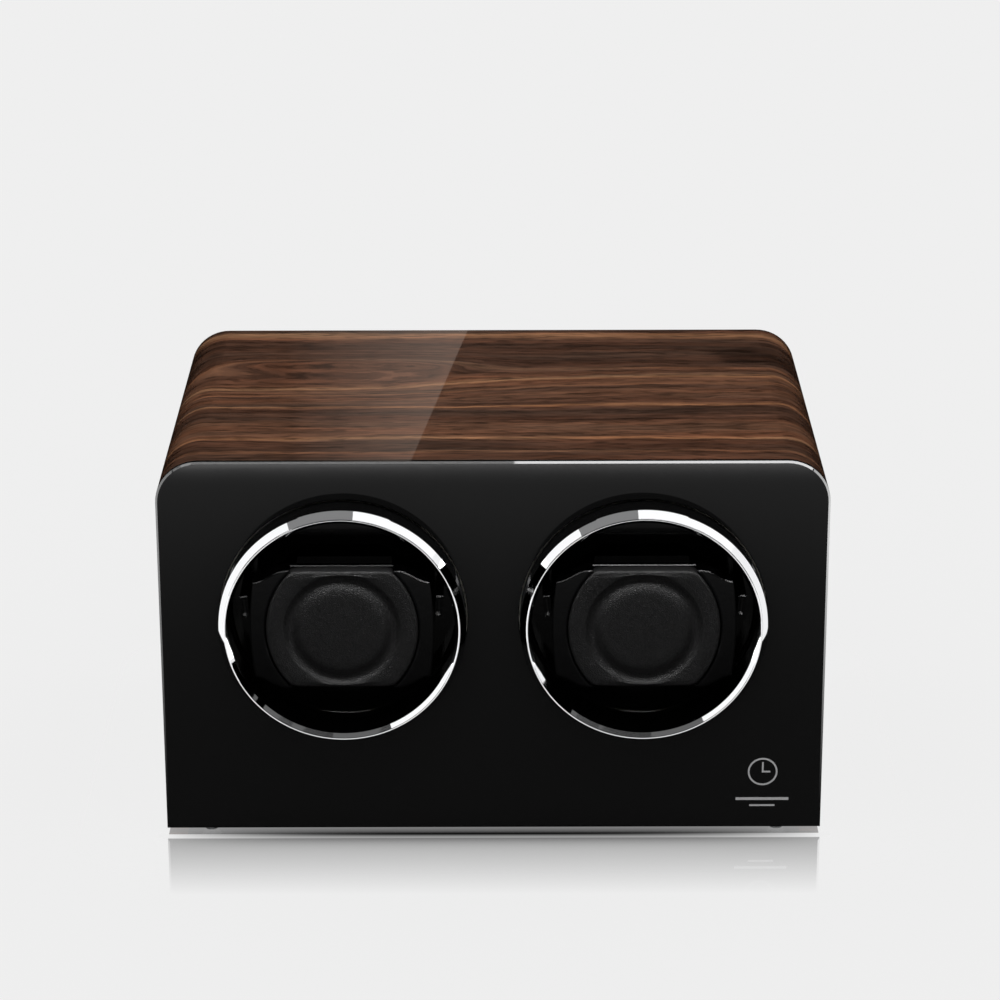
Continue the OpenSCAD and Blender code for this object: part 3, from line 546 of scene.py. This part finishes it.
def inflate(obj):
    """Swells the pad with a short cloth simulation, and caps how far a point may move."""
    rest = [v.co.copy() for v in obj.data.vertices]
    group = obj.vertex_groups.new(name="pinned")
    group.add([v.index for v in obj.data.vertices if is_pinned(v.co)], 1.0, "REPLACE")
    cloth = obj.modifiers.new("cloth", "CLOTH")
    cloth.settings.vertex_group_mass = "pinned"
    cloth.settings.use_pressure = True
    cloth.settings.uniform_pressure_force = PAD_PRESSURE
    cloth.settings.tension_stiffness = 25
    cloth.settings.compression_stiffness = 25
    cloth.settings.shear_stiffness = 15
    cloth.settings.mass = 0.2
    cloth.settings.effector_weights.gravity = 0.0
    cloth.point_cache.frame_start = 1
    cloth.point_cache.frame_end = CLOTH_FRAMES
    scene = bpy.context.scene
    for f in range(1, CLOTH_FRAMES + 1):
        scene.frame_set(f)
    graph = bpy.context.evaluated_depsgraph_get()
    moved = [v.co.copy() for v in obj.evaluated_get(graph).data.vertices]
    obj.modifiers.remove(cloth)
    scene.frame_set(1)
    for v, start, end in zip(obj.data.vertices, rest, moved):
        step = end - start
        v.co = start + step * min(1.0, PAD_CAP / max(step.length, 1e-9))


def make_cushions():
    master = pad_mesh("pad_master", MATERIALS["leatherette"])
    inflate(master)
    pads = []
    for side in SIDES:
        low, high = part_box("cushion_" + side)
        front = low.y + 1.0 * MM
        mesh = master.data.copy()
        pad = bpy.data.objects.new("pad_" + side, mesh)
        bpy.context.scene.collection.objects.link(pad)
        mesh.transform(Matrix.Translation(((low.x + high.x) / 2, front, (low.z + high.z) / 2)))
        smooth = pad.modifiers.new("smooth", "SUBSURF")
        smooth.levels = smooth.render_levels = 1
        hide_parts("cushion_" + side)
        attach(pad, "holder_" + side)
        pads.append(pad)
    bpy.data.objects.remove(master)
    return pads


PADS = make_cushions()


# ---- Studio ----

# The paper's brightness, the floor's reflection and the painted contact shade along the front edge
# (width, depth).
PAPER = 0.863
FLOOR_HALF = 14.0
MIRROR_MOST = 0.58
MIRROR_REACH = 0.064
SHADOW_SHARE = 0.08
MIRROR_START = 4.6 * MM
PAINTED_SHADOW_WIDE = (9.0 * MM, 0.74)
PAINTED_SHADOW_LINE = (2.2 * MM, 0.26)
DARK_STUDIO = 0.012


def plain_emission(g, colour, strength):
    shader = g.add("Emission", {"Color": colour, "Strength": strength})
    g.tree.links.new(shader, g.out.inputs["Surface"])


def floor_material():
    """Pale and even, with a painted contact shadow along the front edge and a reflection that fades
    with distance.
    """
    g = Graph("floor")
    x, y, _ = g.split(g.place())
    across = g.math("ABSOLUTE", x)
    out_x = g.math("MAXIMUM", g.math("SUBTRACT", across, HALF_W), 0.0)
    middle_y, half_d = (FACE_Y + REAR_Y) / 2, (REAR_Y - FACE_Y) / 2
    away = g.math("ABSOLUTE", g.math("SUBTRACT", y, middle_y))
    out_y = g.math("MAXIMUM", g.math("SUBTRACT", away, half_d), 0.0)
    reach = g.math("SQRT", g.math("ADD", g.math("MULTIPLY", out_x, out_x),
                                  g.math("MULTIPLY", out_y, out_y)))
    start = g.remap(reach, MIRROR_START - 0.4 * MM, MIRROR_START + 0.4 * MM)
    start = g.math("MAXIMUM", start, g.math("GREATER_THAN", y, FACE_Y))
    mirror = g.math("MULTIPLY", start, g.remap(reach, 0.0, MIRROR_REACH, MIRROR_MOST, 0.0))
    front = g.math("SUBTRACT", FACE_Y, y)
    ends = g.math("SUBTRACT", 1.0, g.math("POWER", g.math("DIVIDE", across, HALF_W), 4.0))
    ends = g.math("MAXIMUM", ends, 0.0)
    # Painted shadow: the paper's glow and matt colour are darkened by distance in front of the box's
    # front edge, less towards its ends.
    shade = 1.0
    for width, depth in (PAINTED_SHADOW_WIDE, PAINTED_SHADOW_LINE):
        t = g.math("DIVIDE", front, width)
        painted_dip = g.math("EXPONENT", g.math("MULTIPLY", g.math("MULTIPLY", t, t), -1.0))
        shade = g.math("SUBTRACT", shade, g.math("MULTIPLY", g.math("MULTIPLY", painted_dip, depth), ends))
    glow = g.add("Emission", {"Color": (1.0, 1.0, 1.0), "Strength": g.math("MULTIPLY", shade, PAPER)})
    matt = g.add("BsdfDiffuse", {"Color": g.join(shade, shade, shade)})
    paper = g.add("MixShader", {0: SHADOW_SHARE, 1: glow, 2: matt})
    shine = g.add("BsdfGlossy", {"Color": (1.0, 1.0, 1.0), "Roughness": 0.03})
    both = g.add("MixShader", {0: mirror, 1: paper, 2: shine})
    clear = g.add("BsdfTransparent")
    behind = g.add("NewGeometry", out=6)
    g.tree.links.new(g.add("MixShader", {0: behind, 1: both, 2: clear}), g.out.inputs["Surface"])
    return g.material


def quad(name, corners, material):
    obj = new_object(name, corners, [(0, 1, 2, 3)], material, smooth=False)
    return obj


def only_in_reflections(obj):
    obj.visible_camera = False
    obj.visible_diffuse = False
    obj.visible_shadow = False
    obj.visible_transmission = False
    obj.visible_volume_scatter = False


def lit_for(obj, receivers, name):
    """Only the receivers see this light."""
    group = bpy.data.collections.new(name)
    for r in receivers:
        group.objects.link(r)
    obj.light_linking.receiver_collection = group


def glow_through(g, colour, strength):
    """Adds light to whatever is behind, and hides nothing."""
    light = g.add("Emission", {"Color": colour, "Strength": strength})
    clear = g.add("BsdfTransparent")
    g.tree.links.new(g.add("AddShader", {0: light, 1: clear}), g.out.inputs["Surface"])


def card(name, corners, strength, colour=(1.0, 1.0, 1.0), fade=None, only=None):
    """A light card that shows only in reflections. fade = (axis, from, to, power) dims it."""
    g = Graph(name)
    amount = strength
    if fade:
        axis, low, high, power = fade
        share = g.remap(g.split(g.place())["XYZ".index(axis)], low, high)
        amount = g.math("MULTIPLY", g.math("POWER", share, power), strength)
    glow_through(g, colour, amount)
    obj = quad(name, corners, g.material)
    only_in_reflections(obj)
    if only:
        lit_for(obj, only, name + "_targets")
    return obj


def make_floor():
    s = FLOOR_HALF
    floor = quad("floor", [(-s, -s, 0), (s, -s, 0), (s, s, 0), (-s, s, 0)], floor_material())
    floor.visible_glossy = False
    dome = new_dome("floor_sky", 6.0)
    lit_for(dome, [floor], "floor_only")
    return floor


def new_dome(name, radius):
    """A white globe round everything, seen only in the floor's own gloss."""
    bm = bmesh.new()
    bmesh.ops.create_uvsphere(bm, u_segments=32, v_segments=16, radius=radius)
    mesh = bpy.data.meshes.new(name)
    bm.to_mesh(mesh)
    bm.free()
    g = Graph(name)
    plain_emission(g, (1.0, 1.0, 1.0), PAPER)
    mesh.materials.append(g.material)
    obj = bpy.data.objects.new(name, mesh)
    bpy.context.scene.collection.objects.link(obj)
    only_in_reflections(obj)
    return obj


def make_world():
    """Even white light for matt surfaces and a dark room for glossy ones."""
    world = bpy.data.worlds.new("studio")
    world.use_nodes = True
    bpy.context.scene.world = world
    tree = world.node_tree
    tree.nodes.clear()
    out = tree.nodes.new("ShaderNodeOutputWorld")
    path = tree.nodes.new("ShaderNodeLightPath")
    bright = tree.nodes.new("ShaderNodeBackground")
    dark = tree.nodes.new("ShaderNodeBackground")
    mix = tree.nodes.new("ShaderNodeMixShader")
    bright.inputs["Color"].default_value = (PAPER, PAPER, PAPER, 1.0)
    bright.inputs["Strength"].default_value = 1.0
    dark.inputs["Color"].default_value = (1.0, 1.0, 1.0, 1.0)
    dark.inputs["Strength"].default_value = DARK_STUDIO
    tree.links.new(path.outputs["Is Glossy Ray"], mix.inputs[0])
    tree.links.new(bright.outputs[0], mix.inputs[1])
    tree.links.new(dark.outputs[0], mix.inputs[2])
    tree.links.new(mix.outputs[0], out.inputs["Surface"])


def soft_light(name, place, target, size, power, floor):
    lamp = bpy.data.lights.new(name, "AREA")
    lamp.shape = "RECTANGLE"
    lamp.size, lamp.size_y = size
    lamp.energy = power
    obj = bpy.data.objects.new(name, lamp)
    bpy.context.scene.collection.objects.link(obj)
    obj.location = place
    obj.rotation_mode = "QUATERNION"
    obj.rotation_quaternion = (Vector(target) - Vector(place)).to_track_quat("-Z", "Y")
    obj.visible_glossy = False
    group = bpy.data.collections.new(name + "_targets")
    group.objects.link(floor)
    group.collection_objects[0].light_linking.link_state = "EXCLUDE"
    obj.light_linking.receiver_collection = group
    return obj


SHEEN_AT = (0.0, -0.42, 1.1)
SHEEN_SIZE = (0.9, 0.25)
SHEEN_POWER = 14.0


def make_sheen(pads):
    """A lamp above the front that brings out the grain of the leatherette."""
    lamp = bpy.data.lights.new("light_sheen", "AREA")
    lamp.shape = "RECTANGLE"
    lamp.size, lamp.size_y = SHEEN_SIZE
    lamp.energy = SHEEN_POWER
    obj = bpy.data.objects.new("light_sheen", lamp)
    bpy.context.scene.collection.objects.link(obj)
    obj.location = SHEEN_AT
    obj.rotation_mode = "QUATERNION"
    obj.rotation_quaternion = (Vector((0, FACE_Y, 0.1)) - obj.location).to_track_quat("-Z", "Y")
    lit_for(obj, pads, "sheen_targets")


# Where the light cards stand.
CARD_BACK_Y = 1.41
OVERHEAD_Z = 1.1
OVERHEAD_EDGE = 0.03
OVERHEAD_GREY = -0.80
WALL_X = 2.0
STRIP_X = 1.3


def overhead(name, x_from, x_to, strength, y_from=-0.9, y_to=1.6, only=None):
    card(name, [(x_from, y_from, OVERHEAD_Z), (x_to, y_from, OVERHEAD_Z),
                (x_to, y_to, OVERHEAD_Z), (x_from, y_to, OVERHEAD_Z)], strength, only=only)


def side_wall(name, x, strength, only, y_from=-0.9, y_to=1.6, z_from=-1.0, fade=None):
    card(name, [(x, y_from, z_from), (x, y_to, z_from), (x, y_to, OVERHEAD_Z),
                (x, y_from, OVERHEAD_Z)], strength, fade=fade, only=only)


def make_cards():
    holders = [frame["nodes"][n + side] for n in ("holder_frame_", "holder_catches_")
               for side in SIDES]
    rims = [frame["nodes"]["chrome_rim_" + side] for side in SIDES]
    # The photo's glass shows no mirror image of the rims.
    for rim in rims:
        rim.visible_glossy = False
    panel = frame["nodes"]["front_panel"]
    # Behind the box: its edge crosses the lacquered top as a slanting line.
    card("card_back", [(-0.60, CARD_BACK_Y, 0.35), (0.074, CARD_BACK_Y, 0.35),
                       (-0.158, CARD_BACK_Y, 0.90), (-0.60, CARD_BACK_Y, 0.90)],
         0.335, (1.0, 0.82, 0.71), ("X", -0.19, -0.05, 1.0))
    # Low in front: seen in the black glass, brighter towards its top.
    card("card_front", [(-2.2, -1.0, -0.60), (2.2, -1.0, -0.60), (2.2, -1.0, -0.10),
                        (-2.2, -1.0, -0.10)], 0.30, fade=("Z", -0.43, -0.13, 3.0))
    card("card_front_edge", [(-2.2, -1.0, -0.16), (2.2, -1.0, -0.16), (2.2, -1.0, -0.10),
                             (-2.2, -1.0, -0.10)], 2.6, fade=("Z", -0.154, -0.128, 4.5),
         only=[panel])
    # A tent round the box, grey over its left middle, seen in the chrome.
    overhead("card_top_right", OVERHEAD_EDGE, WALL_X, 1.15, y_from=-0.2, only=rims)
    overhead("card_top_grey", OVERHEAD_GREY, OVERHEAD_EDGE, 0.24, y_from=-0.2, only=rims)
    overhead("card_top_left", -WALL_X, OVERHEAD_GREY, 1.1, only=rims)
    overhead("card_top_front", OVERHEAD_GREY, 1.5, 0.13, y_to=-0.2, only=rims)
    side_wall("card_left", -WALL_X, 1.1, rims)
    side_wall("card_right", WALL_X, 1.0, rims, y_from=-0.25)
    side_wall("card_right_front", WALL_X, 0.12, rims, y_from=-0.85, y_to=-0.55)
    card("card_floor", [(-WALL_X, -1.5, -0.005), (WALL_X, -1.5, -0.005), (WALL_X, -0.10, -0.005),
                        (-WALL_X, -0.10, -0.005)], 0.9, only=rims)
    # Narrow strips above the front: the bright line along the panel's bevel.
    overhead("card_strip_right", 0.015, STRIP_X, 17.0, -0.49, -0.37, only=[panel])
    overhead("card_strip_left", -STRIP_X, 0.015, 6.0, -0.49, -0.37, only=[panel])
    # Beside it: the line down each side edge, fading towards the foot.
    downward = ("Z", -0.52, -0.28, 1.5)
    side_wall("card_strip_side", STRIP_X, 9.0, [panel], -0.40, 0.30, -1.0, downward)
    side_wall("card_strip_side_left", -STRIP_X, 4.0, [panel], -0.40, 0.30, -1.0, downward)
    # Further forward, so that they reach into the cups: lines on the holders and the fillets.
    overhead("card_cup_right", 0.05, 0.9, 24.0, -1.30, -0.62, only=holders)
    overhead("card_cup_left", -0.9, 0.05, 11.0, -1.30, -0.62, only=holders)
    overhead("card_fillets", -0.9, 0.9, 45.0, -1.30, -0.62, only=FILLETS)


# ---- Camera ----

CAMERA_AT = (0.0018, -1.5630, 0.6980)
LENS = 122.6
YAW, PITCH, ROLL = 0.001, 0.346, -0.002


def make_camera():
    data = bpy.data.cameras.new("camera")
    data.lens = LENS
    data.sensor_width = 36.0
    data.clip_end = 100.0
    obj = bpy.data.objects.new("camera", data)
    bpy.context.scene.collection.objects.link(obj)
    ahead = Vector((math.sin(YAW) * math.cos(PITCH), math.cos(YAW) * math.cos(PITCH),
                    -math.sin(PITCH)))
    right = Vector((math.cos(YAW), -math.sin(YAW), 0.0))
    up = right.cross(ahead)
    across = right * math.cos(ROLL) + up * math.sin(ROLL)
    upright = up * math.cos(ROLL) - right * math.sin(ROLL)
    turn = Matrix((across, upright, -ahead)).transposed()
    obj.matrix_world = Matrix.Translation(CAMERA_AT) @ turn.to_4x4()
    bpy.context.scene.camera = obj


make_camera()
make_world()
FLOOR = make_floor()
make_cards()
soft_light("light_top", (0.1, -0.5, 1.5), (0, 0, 0.1), (1.6, 1.2), 6.0, FLOOR)
make_sheen(PADS)
bpy.context.scene.view_settings.view_transform = "Standard"
